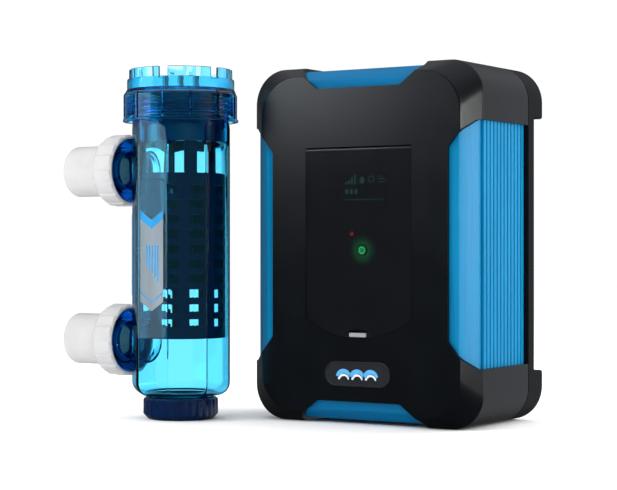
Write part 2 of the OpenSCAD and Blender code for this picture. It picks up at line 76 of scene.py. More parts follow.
# Where the cell's axis meets the floor
CELL = Vector(((cap_low.x + cap_high.x) / 2, (cap_low.y + cap_high.y) / 2, cap_low.z))
PORT_HEIGHTS = {"lower": (tail_low.z + tail_high.z) / 2, "upper": (upper_tail_low.z + upper_tail_high.z) / 2}
PORT_TURN = Matrix.Rotation(math.radians(-90), 4, "Y")

BODY_W = (cover_high.x - cover_low.x) / MM
BODY_H = (cover_high.z - cover_low.z) / MM
SEAM = (cover_high.y - cover_low.y) / MM
CELL_H = (collar_high.z - cap_low.z) / MM
TAIL_REACH = (CELL.x - tail_low.x) / MM


def port_origin(which):
    return Vector((CELL.x, CELL.y, PORT_HEIGHTS[which]))


# ---- mesh making, in millimetres ----

WELD_DIST = 1e-4
TINY_EDGE = 1e-5
TURNED_STEPS = 96


def mesh_object(name, verts, faces, sharp=SHARP):
    """A welded mesh object with its faces turned outwards and its hard edges kept."""
    mesh = bpy.data.meshes.new(name)
    bm = bmesh.new()
    made = [bm.verts.new(v) for v in verts]
    for face in faces:
        bm.faces.new([made[i] for i in face])
    bmesh.ops.remove_doubles(bm, verts=bm.verts, dist=WELD_DIST)
    bmesh.ops.dissolve_degenerate(bm, edges=bm.edges, dist=TINY_EDGE)
    bmesh.ops.recalc_face_normals(bm, faces=bm.faces)
    bm.to_mesh(mesh)
    bm.free()
    obj = bpy.data.objects.new(name, mesh)
    bpy.context.scene.collection.objects.link(obj)
    shade(obj, sharp)
    return obj


def shade(obj, sharp):
    for face in obj.data.polygons:
        face.use_smooth = True
    obj.data.set_sharp_from_angle(angle=math.radians(sharp))


def loft(name, rows, ring=False, sharp=SHARP):
    """Joins closed loops of equal length; the ends are capped, or joined to each other for a ring."""
    count, width = len(rows), len(rows[0])
    verts = [p for row in rows for p in row]
    faces = []
    for i in range(count if ring else count - 1):
        k = (i + 1) % count
        for j in range(width):
            n = (j + 1) % width
            faces.append((i * width + j, i * width + n, k * width + n, k * width + j))
    if not ring:
        faces.append(tuple(range(width)))
        faces.append(tuple((count - 1) * width + j for j in range(width)))
    return mesh_object(name, verts, faces, sharp)


def even_angles(count):
    return [2 * math.pi * i / count for i in range(count)]


def turned(name, profile, angles=None, sharp=SHARP):
    """A turned ring: profile(angle) gives the closed outline as (radius, height) points."""
    if angles is None:
        angles = even_angles(TURNED_STEPS)
    rows = [[(r * math.cos(a), r * math.sin(a), z) for r, z in profile(a)] for a in angles]
    return loft(name, rows, ring=True, sharp=sharp)


# Where an outline's point p lands at depth d along each axis
ALONG = {
    "X": lambda p, d: (d, p[0], p[1]),
    "Y": lambda p, d: (p[0], d, p[1]),
    "Z": lambda p, d: (p[0], p[1], d),
}


def prism(name, outline, low, high, axis="Y", sharp=SHARP):
    """Extrudes an outline along an axis. The outline is (x, z) along Y, (x, y) along Z, (y, z) along X."""
    rows = [[ALONG[axis](p, depth) for p in outline] for depth in (low, high)]
    return loft(name, rows, sharp=sharp)


def soft_corners(points, setback, steps=4):
    """The closed outline with each corner rounded, starting setback before it."""
    out = []
    for i, corner in enumerate(points):
        p = Vector(corner)
        before = Vector(points[i - 1]) - p
        after = Vector(points[(i + 1) % len(points)]) - p
        size = setback[i] if isinstance(setback, (list, tuple)) else setback
        if size == 0:
            out.append(tuple(p))
            continue
        a = p + before.normalized() * min(size, before.length * 0.48)
        b = p + after.normalized() * min(size, after.length * 0.48)
        for k in range(steps + 1):
            t = k / steps
            out.append(tuple((1 - t) ** 2 * a + 2 * t * (1 - t) * p + t * t * b))
    return out


def box_outline(x0, x1, z0, z1):
    return [(x0, z0), (x1, z0), (x1, z1), (x0, z1)]


def rounded_rect(width, height, radius, steps=12):
    out = []
    for quarter in range(4):
        cx = (width / 2 - radius) * (1 if quarter in (0, 3) else -1)
        cz = (height / 2 - radius) * (1 if quarter in (0, 1) else -1)
        for k in range(steps + 1):
            a = math.pi / 2 * (quarter + k / steps)
            out.append((cx + radius * math.cos(a), cz + radius * math.sin(a)))
    return out


def disc(radius, cx=0.0, cz=0.0, steps=48):
    return [(cx + radius * math.cos(a), cz + radius * math.sin(a)) for a in even_angles(steps)]


def combine(target, tool, operation="DIFFERENCE", sharp=SHARP):
    """Cuts, joins or intersects target with tool, and removes tool."""
    mod = target.modifiers.new("combine", "BOOLEAN")
    mod.object = tool
    mod.operation = operation
    mod.solver = "EXACT"
    graph = bpy.context.evaluated_depsgraph_get()
    mesh = bpy.data.meshes.new_from_object(target.evaluated_get(graph))
    target.modifiers.clear()
    target.data = mesh
    bpy.data.objects.remove(tool)
    shade(target, sharp)
    return target


def join(name, objects):
    """One object out of several separate solids."""
    bm = bmesh.new()
    for obj in objects:
        bm.from_mesh(obj.data)
    mesh = bpy.data.meshes.new(name)
    bm.to_mesh(mesh)
    bm.free()
    for obj in objects:
        bpy.data.objects.remove(obj)
    out = bpy.data.objects.new(name, mesh)
    bpy.context.scene.collection.objects.link(out)
    shade(out, SHARP)
    return out


def piece(obj, body, material, origin, turn=None, edge=0.0, stands_for=()):
    """Puts a mesh made in millimetres in its place, gives it its material and soft edges, ties it to its
    body, and hides the CAD parts that it stands for.
    """
    move = Matrix.Translation(origin) @ (turn or Matrix.Identity(4)) @ Matrix.Scale(MM, 4)
    obj.data.transform(move)
    obj.data.materials.clear()
    obj.data.materials.append(material)
    if edge:
        bevel = obj.modifiers.new("Edges", "BEVEL")
        bevel.width = edge * MM
        bevel.segments = 2
        bevel.limit_method = "ANGLE"
        bevel.angle_limit = math.radians(SHARP)
        normals = obj.modifiers.new("Normals", "WEIGHTED_NORMAL")
        normals.keep_sharp = True
    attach(obj, body)
    if stands_for:
        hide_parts(*stands_for)
    return obj


# ---- materials ----

def base_material(name):
    mat = bpy.data.materials.new(name)
    mat.use_nodes = True
    nodes, links = mat.node_tree.nodes, mat.node_tree.links
    return mat, nodes, links, nodes["Principled BSDF"]


def noise(nodes, links, scale, stretch=(1, 1, 1), detail=3.0):
    where = nodes.new("ShaderNodeTexCoord")
    mapping = nodes.new("ShaderNodeMapping")
    mapping.inputs["Scale"].default_value = stretch
    texture = nodes.new("ShaderNodeTexNoise")
    texture.inputs["Scale"].default_value = scale
    texture.inputs["Detail"].default_value = detail
    links.new(where.outputs["Object"], mapping.inputs["Vector"])
    links.new(mapping.outputs["Vector"], texture.inputs["Vector"])
    return texture.outputs["Fac"]


def spread_colour(nodes, links, fac, dark, light):
    ramp = nodes.new("ShaderNodeValToRGB")
    ramp.color_ramp.elements[0].position = 0.35
    ramp.color_ramp.elements[1].position = 0.65
    ramp.color_ramp.elements[0].color = (*dark, 1)
    ramp.color_ramp.elements[1].color = (*light, 1)
    links.new(fac, ramp.inputs["Fac"])
    return ramp.outputs["Color"]


def spread_value(nodes, links, fac, low, high):
    remap = nodes.new("ShaderNodeMapRange")
    remap.inputs["From Min"].default_value = 0.3
    remap.inputs["From Max"].default_value = 0.7
    remap.inputs["To Min"].default_value = low
    remap.inputs["To Max"].default_value = high
    links.new(fac, remap.inputs["Value"])
    return remap.outputs["Result"]


def moulded(name, colour, rough, spread=0.12, patch=90, grain=1600, depth=0.02, strength=0.25,
            metallic=0.0, stretch=(1, 1, 1), coat=0.0, specular=0.5):
    """Moulded, cast or drawn surface: patchy colour and gloss, and a fine grain in its relief."""
    mat, nodes, links, shader = base_material(name)
    fac = noise(nodes, links, patch, stretch)
    dark = tuple(c * (1 - spread) for c in colour)
    light = tuple(min(1, c * (1 + spread)) for c in colour)
    links.new(spread_colour(nodes, links, fac, dark, light), shader.inputs["Base Color"])
    links.new(spread_value(nodes, links, fac, rough * 0.95, rough * 1.05), shader.inputs["Roughness"])
    bump = nodes.new("ShaderNodeBump")
    bump.inputs["Strength"].default_value = strength
    bump.inputs["Distance"].default_value = depth * MM
    links.new(noise(nodes, links, grain, stretch, 4.0), bump.inputs["Height"])
    links.new(bump.outputs["Normal"], shader.inputs["Normal"])
    shader.inputs["Metallic"].default_value = metallic
    shader.inputs["Coat Weight"].default_value = coat
    shader.inputs["Coat Roughness"].default_value = 0.12
    shader.inputs["Specular IOR Level"].default_value = specular
    return mat


CLEAR_ROUGH = 0.03
CLEAR_IOR = 1.45


def clear_plastic(name, absorb, density):
    """Clear tinted moulding: light passes through and is dimmed along its way inside."""
    mat, nodes, links, shader = base_material(name)
    shader.inputs["Base Color"].default_value = (1, 1, 1, 1)
    shader.inputs["Transmission Weight"].default_value = 1.0
    shader.inputs["IOR"].default_value = CLEAR_IOR
    fac = noise(nodes, links, 70)
    rough = spread_value(nodes, links, fac, CLEAR_ROUGH * 0.5, CLEAR_ROUGH * 1.5)
    links.new(rough, shader.inputs["Roughness"])
    bump = nodes.new("ShaderNodeBump")
    bump.inputs["Strength"].default_value = 0.08
    bump.inputs["Distance"].default_value = 0.1 * MM
    links.new(noise(nodes, links, 45, detail=1.0), bump.inputs["Height"])
    links.new(bump.outputs["Normal"], shader.inputs["Normal"])
    volume = nodes.new("ShaderNodeVolumeAbsorption")
    volume.inputs["Color"].default_value = (*absorb, 1)
    volume.inputs["Density"].default_value = density
    links.new(volume.outputs["Volume"], nodes["Material Output"].inputs["Volume"])
    return mat


def lit(mat, colour, strength):
    shader = mat.node_tree.nodes["Principled BSDF"]
    shader.inputs["Emission Color"].default_value = (*colour, 1)
    shader.inputs["Emission Strength"].default_value = strength
    return mat


def painted_glow_round(mat, centre, reach, colour, strength):
    """Paints a glow onto the plate round a lit key: emission that fades with distance from the key."""
    nodes, links = mat.node_tree.nodes, mat.node_tree.links
    shader = nodes["Principled BSDF"]
    where = nodes.new("ShaderNodeTexCoord")
    away = nodes.new("ShaderNodeVectorMath")
    away.operation = "DISTANCE"
    away.inputs[1].default_value = centre
    links.new(where.outputs["Object"], away.inputs[0])
    fade = nodes.new("ShaderNodeMapRange")
    fade.interpolation_type = "SMOOTHERSTEP"
    fade.inputs["From Min"].default_value = 0.0
    fade.inputs["From Max"].default_value = reach
    fade.inputs["To Min"].default_value = strength
    fade.inputs["To Max"].default_value = 0.0
    links.new(away.outputs["Value"], fade.inputs["Value"])
    shader.inputs["Emission Color"].default_value = (*colour, 1)
    links.new(fade.outputs["Result"], shader.inputs["Emission Strength"])
    return mat


def smoked(name):
    """Dark polished plastic that lets a little light through."""
    mat = moulded(name, (0.006, 0.007, 0.009), 0.12, grain=700, depth=0.004, strength=0.1, patch=40)
    shader = mat.node_tree.nodes["Principled BSDF"]
    shader.inputs["Alpha"].default_value = 0.72
    shader.inputs["Coat Weight"].default_value = 0.4
    return mat


BLACK = moulded("black_moulding", (0.002, 0.003, 0.0045), 0.25, patch=30, grain=2600, depth=0.02,
                strength=0.3)
BLACK_BACK = moulded("black_moulding_back", (0.003, 0.0036, 0.0046), 0.36, specular=0.12,
                     grain=2200, depth=0.04, strength=0.4)
BLUE_METAL = moulded("blue_aluminium", (0.0002, 0.170, 0.35), 0.28, spread=0.08, stretch=(1, 1, 0.04),
                     patch=260, grain=1500, depth=0.01, metallic=0.05, specular=0.2, strength=0.2)
# Same blue aluminium as the heat sinks, with a darker base colour: painted shade on the top and bottom
# plates
SHADED_BLUE_TRIM = moulded("blue_aluminium_shaded_trim", (0.0002, 0.125, 0.29), 0.30, spread=0.08, stretch=(0.04, 1, 1),
                    patch=260, grain=1500, depth=0.01, metallic=0.05, specular=0.2, strength=0.2)
RUBBER = moulded("seal_rubber", (0.02, 0.02, 0.021), 0.75, grain=1200, depth=0.05)
STEEL = moulded("steel_fastener", (0.62, 0.62, 0.61), 0.3, metallic=1.0, stretch=(1, 1, 0.1), spread=0.06)
SATIN = moulded("satin_latch", (0.40, 0.41, 0.43), 0.28, metallic=0.25, stretch=(0.1, 1, 1), spread=0.05,
                coat=0.3)
GALVANISED = moulded("galvanised_plate", (0.55, 0.57, 0.58), 0.42, metallic=1.0, patch=130, spread=0.16)
BADGE_GROUND = moulded("badge_ground", (0.016, 0.018, 0.022), 0.3, coat=0.5, grain=1000, depth=0.01)
BADGE_BLUE = moulded("badge_blue", (0.10, 0.42, 0.80), 0.25, coat=0.6, grain=900, depth=0.008)
BADGE_WHITE = moulded("badge_white", (0.75, 0.80, 0.84), 0.25, coat=0.6, grain=900, depth=0.008)
SMOKED = smoked("smoked_window")
FASCIA = moulded("fascia_black", (0.008, 0.009, 0.011), 0.4, grain=2000, depth=0.02)
DISPLAY = moulded("display_glass", (0.004, 0.010, 0.012), 0.15, grain=600, depth=0.003)
ICONS = lit(moulded("display_icons", (0.02, 0.10, 0.11), 0.5), (0.10, 0.62, 0.62), 0.6)
LIT_BUTTON = moulded("lit_button", (0.01, 0.05, 0.02), 0.4)
LIT_RING = lit(moulded("lit_ring", (0.02, 0.4, 0.12), 0.4), (0.04, 1.0, 0.25), 6.0)
KEY_RUBBER = moulded("key_rubber", (0.016, 0.017, 0.019), 0.6, grain=1500, depth=0.03)
INDICATOR = lit(moulded("indicator_red", (0.30, 0.01, 0.01), 0.2), (1.0, 0.05, 0.03), 1.6)
BOARD = moulded("circuit_board", (0.01, 0.09, 0.035), 0.35, patch=500, spread=0.3)
TAPE = moulded("transformer_tape", (0.42, 0.24, 0.06), 0.5, patch=400, stretch=(1, 0.1, 1))
ALUMINIUM = moulded("bare_aluminium", (0.68, 0.69, 0.70), 0.38, metallic=1.0, stretch=(1, 0.06, 1))
TERMINAL = moulded("terminal_green", (0.03, 0.22, 0.08), 0.45)
FUSE = moulded("fuse_black", (0.02, 0.02, 0.022), 0.4)
CLEAR_BLUE = clear_plastic("blue_clear", (0.0, 0.81, 0.975), 375)
CLEAR_COLLAR = clear_plastic("blue_clear_collar", (0.0, 0.76, 0.935), 310)
LABEL_SILVER = moulded("label_silver", (0.50, 0.60, 0.68), 0.32, metallic=0.55, patch=30, spread=0.2,
                       stretch=(1, 1, 0.2))
LABEL_BLUE = moulded("label_blue", (0.02, 0.33, 0.72), 0.3, coat=0.3)
NAVY = moulded("navy_moulding", (0.0004, 0.012, 0.058), 0.22, coat=0.3, grain=900, depth=0.02)
CAGE = moulded("navy_cage", (0.0002, 0.002, 0.030), 0.45, specular=0.1, grain=900, depth=0.02)
TITANIUM = moulded("coated_titanium", (0.003, 0.004, 0.012), 0.5, metallic=0.4, specular=0.2, patch=300,
                   spread=0.3)
WASHER = moulded("washer_nylon", (0.62, 0.66, 0.68), 0.45)
PVC = moulded("white_pvc", (0.61, 0.605, 0.61), 0.32, spread=0.03, patch=60, grain=700, depth=0.02)

for node, material in {
    "back_housing": BLACK_BACK, "cover_gasket": RUBBER, "cover_screws": STEEL,
    "hanging_plate": GALVANISED, "cable_glands": BLACK_BACK, "hinge_pin": STEEL, "control_fascia": FASCIA,
    "display": DISPLAY, "menu_key": KEY_RUBBER, "up_key": KEY_RUBBER, "down_key": KEY_RUBBER,
    "power_button": LIT_BUTTON, "indicator_lens": INDICATOR, "control_board": BOARD, "power_board": BOARD,
    "transformer": TAPE, "heat_spreader": ALUMINIUM, "terminal_block": TERMINAL, "fuse_holder": FUSE,
    "electrode_head": NAVY, "head_o_ring": RUBBER, "terminal_studs": STEEL, "electrode_straps": TITANIUM,
    "electrode_plates": TITANIUM, "plate_spacers": NAVY, "collar_washer": WASHER, "upper_o_ring": RUBBER,
    "lower_o_ring": RUBBER, "cap_gasket": RUBBER, "electrode_cage": CAGE,
}.items():
    slots = frame["nodes"][node].data.materials
    slots.clear()
    slots.append(material)


# ---- controller casing ----

FRONT_W, FRONT_H, FRONT_R = 213.0, 315.0, 38.0
BODY_R = 33.0
EDGE_D = 14.5
WALL = 3.0
CASE_D = 118.5
CASE_STEPS = 16
# Share of the edge chamfer that its soft front and rear bends take
FRONT_BEND, REAR_BEND = 0.05, 0.06
BEND_OUT = 1.2
BEND_STEPS = 4
SEAM_STEP = 1.2
SEAM_INSET = 0.9
# How far a cutting tool reaches past the surface that it cuts
PAST = 2.0
NOTCH_SIDE = [(94, 87.3), (106.5, 102.5), (118.5, 111.6), (130, 111.6)]
NOTCH_END = [(44.4, 145.4), (60.3, 157.6), (66, 163), (66, 175)]
NOTCH_ROUND = 2.0

WINDOW_W, WINDOW_TOP, WINDOW_BOTTOM, WINDOW_ARC = 113.0, 90.0, 87.0, 94.5
WINDOW_ARC_STEPS = 24
WINDOW_GAP = 0.4
OPENING_D = 12.0
LIP_W, LIP_D = 3.0, 8.8
GLASS_Y, GLASS_T = 0.3, 2.4
BARREL_R = 2.2
PIN_R = 1.15


def case_section(t, y, inset=0.0):
    """The casing's outline t of the way from the front face to the full body, at depth y."""
    w = FRONT_W + (BODY_W - FRONT_W) * t - 2 * inset
    h = FRONT_H + (BODY_H - FRONT_H) * t - 2 * inset
    r = FRONT_R + (BODY_R - FRONT_R) * t - inset
    return [(x, y, z) for x, z in rounded_rect(w, h, r, CASE_STEPS)]


def bend(a, corner, b):
    """Points along a soft bend from a to b that leans towards corner."""
    return [tuple((1 - t) ** 2 * p + 2 * t * (1 - t) * q + t * t * r for p, q, r in zip(a, corner, b))
            for t in (k / BEND_STEPS for k in range(BEND_STEPS + 1))]


def notch_cutters():
    cutters = []
    for s in (-1, 1):
        side = [(s * x, z) for x, z in NOTCH_SIDE] + [(s * x, -z) for x, z in reversed(NOTCH_SIDE)]
        end = [(x, s * z) for x, z in NOTCH_END] + [(-x, s * z) for x, z in reversed(NOTCH_END)]
        for outline in (side, end):
            cutters.append(prism("notch", soft_corners(outline, NOTCH_ROUND, 3), -PAST, SEAM + PAST))
    return cutters


def window_outline(grow=0.0, low_cut=0.0):
    """The window's shape: a rectangle whose bottom edge is an arc, its top lowered by low_cut."""
    half = WINDOW_W / 2 + grow
    radius = WINDOW_ARC + grow
    mid = WINDOW_ARC - WINDOW_BOTTOM
    start = math.asin(half / radius)
    turns = [start * (1 - 2 * k / WINDOW_ARC_STEPS) for k in range(WINDOW_ARC_STEPS + 1)]
    top = WINDOW_TOP + grow - low_cut
    return [(-half, top), (half, top)] + [(radius * math.sin(a), mid - radius * math.cos(a)) for a in turns]


def make_cover():
    path = bend((-FRONT_BEND, 0.0), (0.0, 0.0), (FRONT_BEND, FRONT_BEND * EDGE_D))
    path += bend((1 - REAR_BEND, (1 - REAR_BEND) * EDGE_D), (1.0, EDGE_D), (1.0, EDGE_D + BEND_OUT))
    outer = [case_section(t, y) for t, y in path]
    outer.append(case_section(1.0, SEAM - SEAM_STEP))
    outer.append(case_section(1.0, SEAM, SEAM_INSET))
    inner = [case_section(1.0, SEAM, WALL), case_section(1.0, EDGE_D + 1, WALL),
             case_section(0.0, WALL, WALL)]
    cover = loft("cover_shell", outer + inner)
    combine(cover, prism("lip", window_outline(LIP_W), WALL - 0.02, LIP_D), "UNION")
    for cutter in notch_cutters():
        combine(cover, cutter)
    combine(cover, prism("opening", window_outline(WINDOW_GAP), -PAST, OPENING_D))
    piece(cover, "controller", BLACK, CONTROLLER, edge=0.7, stands_for=["front_cover"])


# The blue pieces: depth of their front faces and rear edges, and their thickness
BLUE_FRONT, BLUE_BACK, BLUE_T = 4.0, SEAM - 0.3, 3.0
# How far in from the cover's front edges the blue pieces fold, outside and inside
FOLD_OUT, FOLD_IN = 3.5, 5.0
BLUE_SHARP = 28

RIBS = 12
RIB_START, RIB_W, RIB_H = 22.5, 5.5, 3.0
RIB_LEAN = 0.2
GROOVE_START, GROOVE_H = 16.4, 4.0
SINK_T = 6.0
SINK_INSET = 4.0
SINK_INNER_X = 86.0
SINK_H = 230.0

TRIM_INSET = 3.5
TRIM_INNER_Z = 139.0
TRIM_LEN = 146.0
GLAND_X, GLAND_Y, GLAND_R = 32, 66, 10.5
GLAND_CUT = 20


def rib_outline(x, y):
    """A flat rib with softened edges, and the narrow groove that follows it left open."""
    top, end = x + RIB_H, y + RIB_W
    return soft_corners([(x, y), (top, y + RIB_LEAN), (top, end - RIB_LEAN), (x, end)], [0, 0.5, 0.7, 0], 3)


def heat_sink_outline():
    """Cross-section of the right heat sink, seen from above."""
    x = BODY_W / 2 - SINK_INSET
    face = [(SINK_INNER_X, BLUE_FRONT), (FRONT_W / 2 - FOLD_OUT, BLUE_FRONT), (x, EDGE_D + 0.5),
            (x, GROOVE_START), (x - GROOVE_H, GROOVE_START), (x - GROOVE_H, RIB_START)]
    points = soft_corners(face, [0, 0.3, 0.4, 0.3, 0, 0], 3)
    pitch = (BLUE_BACK - RIB_START) / RIBS
    for i in range(RIBS):
        points += rib_outline(x - RIB_H, RIB_START + i * pitch)
    points += [(x - RIB_H, BLUE_BACK), (x - SINK_T, BLUE_BACK), (x - SINK_T, EDGE_D + BLUE_T),
               (FRONT_W / 2 - FOLD_IN, BLUE_FRONT + BLUE_T), (SINK_INNER_X, BLUE_FRONT + BLUE_T)]
    return points


def make_heat_sink(side, node):
    outline = [(side * x, y) for x, y in heat_sink_outline()]
    sink = prism(node + "_ribbed", outline, -SINK_H / 2, SINK_H / 2, "Z", sharp=BLUE_SHARP)
    piece(sink, "controller", BLUE_METAL, CONTROLLER, stands_for=[node])


def make_trim(side, node):
    """The folded plate on the top or the bottom; the lower one is pierced for the cable glands."""
    z = BODY_H / 2 - TRIM_INSET
    face = [(BLUE_FRONT, TRIM_INNER_Z), (BLUE_FRONT, FRONT_H / 2 - FOLD_OUT), (EDGE_D, z), (BLUE_BACK, z)]
    points = soft_corners(face, [0, 1.4, 1.4, 0.6], 3)
    points += [(BLUE_BACK, z - BLUE_T), (EDGE_D + 2, z - BLUE_T),
               (BLUE_FRONT + BLUE_T, FRONT_H / 2 - FOLD_IN), (BLUE_FRONT + BLUE_T, TRIM_INNER_Z)]
    outline = [(y, side * h) for y, h in points]
    trim = prism(node + "_folded", outline, -TRIM_LEN / 2, TRIM_LEN / 2, "X", sharp=BLUE_SHARP)
    if side < 0:
        low = -BODY_H / 2
        for x in (-GLAND_X, GLAND_X):
            hole = prism("hole", disc(GLAND_R, x, GLAND_Y), low - PAST, low + GLAND_CUT, "Z")
            combine(trim, hole, sharp=BLUE_SHARP)
    piece(trim, "controller", SHADED_BLUE_TRIM, CONTROLLER, stands_for=[node])


FOOT_D, FOOT_LENGTH, FOOT_T = 136.5, 48.0, 14.0
FOOT_ROUND_OUT, FOOT_ROUND_IN = 2.6, 2.0
SCREW_OUT = 17.6
SCREW_HOLE_R = 4.2


def make_bumpers():
    """Four corner feet behind the casing, each rounded at its ends and its rear edge."""
    quarter = CASE_STEPS + 1
    outer = rounded_rect(BODY_W, BODY_H, BODY_R, CASE_STEPS)[:quarter]
    inner = rounded_rect(BODY_W - 2 * FOOT_T, BODY_H - 2 * FOOT_T, BODY_R - FOOT_T, CASE_STEPS)[:quarter]
    side, top = BODY_W / 2, BODY_H / 2
    end_x, end_z = side - FOOT_LENGTH, top - FOOT_LENGTH
    corner = ([(side, end_z)] + outer + [(end_x, top), (end_x, top - FOOT_T)]
              + list(reversed(inner)) + [(side - FOOT_T, end_z)])
    arc = [0] * quarter
    rounding = [FOOT_ROUND_OUT] + arc + [FOOT_ROUND_OUT, FOOT_ROUND_IN] + arc + [FOOT_ROUND_IN]
    hole_x, hole_z = side - BODY_R + SCREW_OUT, top - BODY_R + SCREW_OUT
    feet = []
    for sx in (-1, 1):
        for sz in (-1, 1):
            outline = [(sx * x, sz * z) for x, z in soft_corners(corner, rounding)]
            foot = prism("foot", outline, CASE_D, FOOT_D)
            hole = disc(SCREW_HOLE_R, sx * hole_x, sz * hole_z, 32)
            feet.append(combine(foot, prism("hole", hole, CASE_D - 1, FOOT_D + 1)))
    piece(join("corner_feet", feet), "controller", BLACK_BACK, CONTROLLER, edge=1.4,
          stands_for=["rear_bumpers"])


# ---- window, latch and badge ----

LATCH_HALF, LATCH_LOW, LATCH_HIGH = 9.0, -85.4, -81.7
LATCH_FRONT = 3.2
LATCH_BACK_HALF, LATCH_BACK_LOW = 11.0, -86.2
LATCH_BACK_Y = (3.1, 4.6)
POCKET_GAP = 0.3
POCKET_HIGH = -78.6

BADGE_W, BADGE_H, BADGE_Z = 70.0, 23.0, -119.7
# The badge's section from its rear edge over the rim to the sunk ground, as (inset, depth)
BADGE_SECTION = ((0.0, 0.0), (0.0, -0.6), (0.3, -0.9), (1.1, -0.9), (1.5, -0.5), (3.0, -0.45))
BADGE_GROUND_Y = -0.45
CREST_PITCH, CREST_STEPS = 14.5, 20


def make_window():
    barrel = disc(BARREL_R, GLASS_Y + BARREL_R, WINDOW_TOP - BARREL_R, 32)
    bore = disc(PIN_R, GLASS_Y + BARREL_R, WINDOW_TOP - BARREL_R, 32)
    half = LATCH_HALF + POCKET_GAP
    pocket = soft_corners(box_outline(-half, half, LATCH_LOW - POCKET_GAP, POCKET_HIGH), 1.0)
    glass = prism("smoked_glass", window_outline(low_cut=BARREL_R), GLASS_Y, GLASS_Y + GLASS_T)
    combine(glass, prism("barrel", barrel, -WINDOW_W / 2, WINDOW_W / 2, "X"), "UNION")
    combine(glass, prism("bore", bore, -WINDOW_W, WINDOW_W, "X"))
    combine(glass, prism("pocket", pocket, -PAST, GLASS_Y + GLASS_T + PAST))
    piece(glass, "window_flap", SMOKED, CONTROLLER, edge=0.35, stands_for=["window"])


def make_latch():
    face = soft_corners(box_outline(-LATCH_HALF, LATCH_HALF, LATCH_LOW, LATCH_HIGH), 0.9)
    plate = box_outline(-LATCH_BACK_HALF, LATCH_BACK_HALF, LATCH_BACK_LOW, LATCH_HIGH)
    knob = prism("latch_knob", face, 0.0, LATCH_FRONT)
    combine(knob, prism("latch_back", plate, *LATCH_BACK_Y), "UNION")
    piece(knob, "latch", SATIN, CONTROLLER, edge=0.3, stands_for=["window_latch"])


def stadium(width, height):
    return rounded_rect(width, height, height / 2 - 0.01, 16)


def make_badge():
    rows = []
    for inset, y in BADGE_SECTION:
        rows.append([(x, y, z + BADGE_Z) for x, z in stadium(BADGE_W - 2 * inset, BADGE_H - 2 * inset)])
    piece(loft("badge_rimmed", rows), "controller", BADGE_GROUND, CONTROLLER,
          stands_for=["badge_plate"])


def arc_angles(first, last):
    return [math.radians(first + (last - first) * k / CREST_STEPS) for k in range(CREST_STEPS + 1)]


def crescent(cx, cz, radius, thick):
    """A wave crest: a hollow arc that thins to a point on its left."""
    bore = radius - thick
    top = [(cx + radius * math.cos(a), cz + radius * math.sin(a)) for a in arc_angles(12, 168)]
    low = [(cx + thick * 0.25 + bore * math.cos(a), cz - thick * 0.35 + bore * math.sin(a))
           for a in arc_angles(164, 16)]
    return top + low


def crest_row(name, drop, radius, thick, height):
    """Three like crests side by side on the badge's ground."""
    crests = [prism("crest", crescent(i * CREST_PITCH, BADGE_Z - drop, radius, thick),
                    BADGE_GROUND_Y - height, BADGE_GROUND_Y) for i in (-1, 0, 1)]
    return join(name, crests)


def make_emblem():
    piece(crest_row("wave_crests", 3.6, 8.2, 3.0, 0.9), "controller", BADGE_BLUE, CONTROLLER,
          edge=0.15, stands_for=["badge_emblem"])
    piece(crest_row("wave_lines", 6.2, 6.2, 1.5, 0.75), "controller", BADGE_WHITE, CONTROLLER,
          edge=0.12)


# ---- lit symbols and power light ----

ICON_Y, ICON_T = 11.2, 0.25
POWER_Z, POWER_Y = -5.4, 7.8
FASCIA_Y = 9
PAINTED_GLOW_REACH = 0.017


def bar(x0, x1, z0, z1):
    return prism("bar", soft_corners(box_outline(x0, x1, z0, z1), 0.4, 2), ICON_Y, ICON_Y + ICON_T)


def flat_ring(name, outer, inner, x, z, low, high, steps=48):
    ring = prism(name, disc(outer, x, z, steps), low, high)
    return combine(ring, prism("hole", disc(inner, x, z, steps), low - 1, high + 1))


def make_display_icons():
    """Plain lit symbols: a level meter, a drop, a clock face, lines, blocks and a dashed bar."""
    meter = [bar(-20 + i * 3.2, -18.2 + i * 3.2, 56, 58 + i * 2.2) for i in range(4)]
    drop = prism("drop", [(-2 + 2.4 * math.cos(a) * (1 - 0.35 * math.sin(a)), 60 + 3.4 * math.sin(a))
                          for a in even_angles(24)], ICON_Y, ICON_Y + ICON_T)
    clock = flat_ring("clock", 3.2, 2.4, 8, 60.5, ICON_Y, ICON_Y + ICON_T, 24)
    lines = [bar(15, 23, 57.5, 58.3), bar(15, 23, 60.2, 61.0), bar(15, 20, 62.9, 63.7)]
    blocks = [bar(-20 + i * 5.0, -17 + i * 5.0, 47, 51.5) for i in range(3)]
    dashes = [bar(-22 + i * 4.5, -19.2 + i * 4.5, 41.2, 42.4) for i in range(10)]
    symbols = join("display_symbols", meter + [drop, clock] + lines + blocks + dashes)
    piece(symbols, "controller", ICONS, CONTROLLER)


def make_power_ring():
    ring = flat_ring("power_ring", 3.6, 2.4, 0, POWER_Z, POWER_Y - 0.02, POWER_Y + 0.4)
    mark = flat_ring("power_mark", 1.5, 1.0, 0, POWER_Z, POWER_Y - 0.02, POWER_Y + 0.3, 24)
    piece(join("power_light", [ring, mark]), "power_key", LIT_RING, CONTROLLER)


# Painted glow: the fascia plate itself gives off green light round the power key
painted_glow_round(FASCIA, CONTROLLER + Vector((0, FASCIA_Y, POWER_Z)) * MM, PAINTED_GLOW_REACH, (0.03, 1.0, 0.28), 0.7)


# ---- cell housing ----

SIDES = 8
# Half of one side's turn round the axis, in degrees
HALF_SIDE = 22.5
FLAT = 45.0
CELL_WALL = 2.7
CORNER_R, INNER_CORNER_R = 4.5, 0.8
CORNER_STEPS = 3
# Directions across the flat part of one side, in degrees from its middle
SIDE_STEPS = [-14, -9, -4.5, 0, 4.5, 9, 14]
CLEAR_SHARP = 32

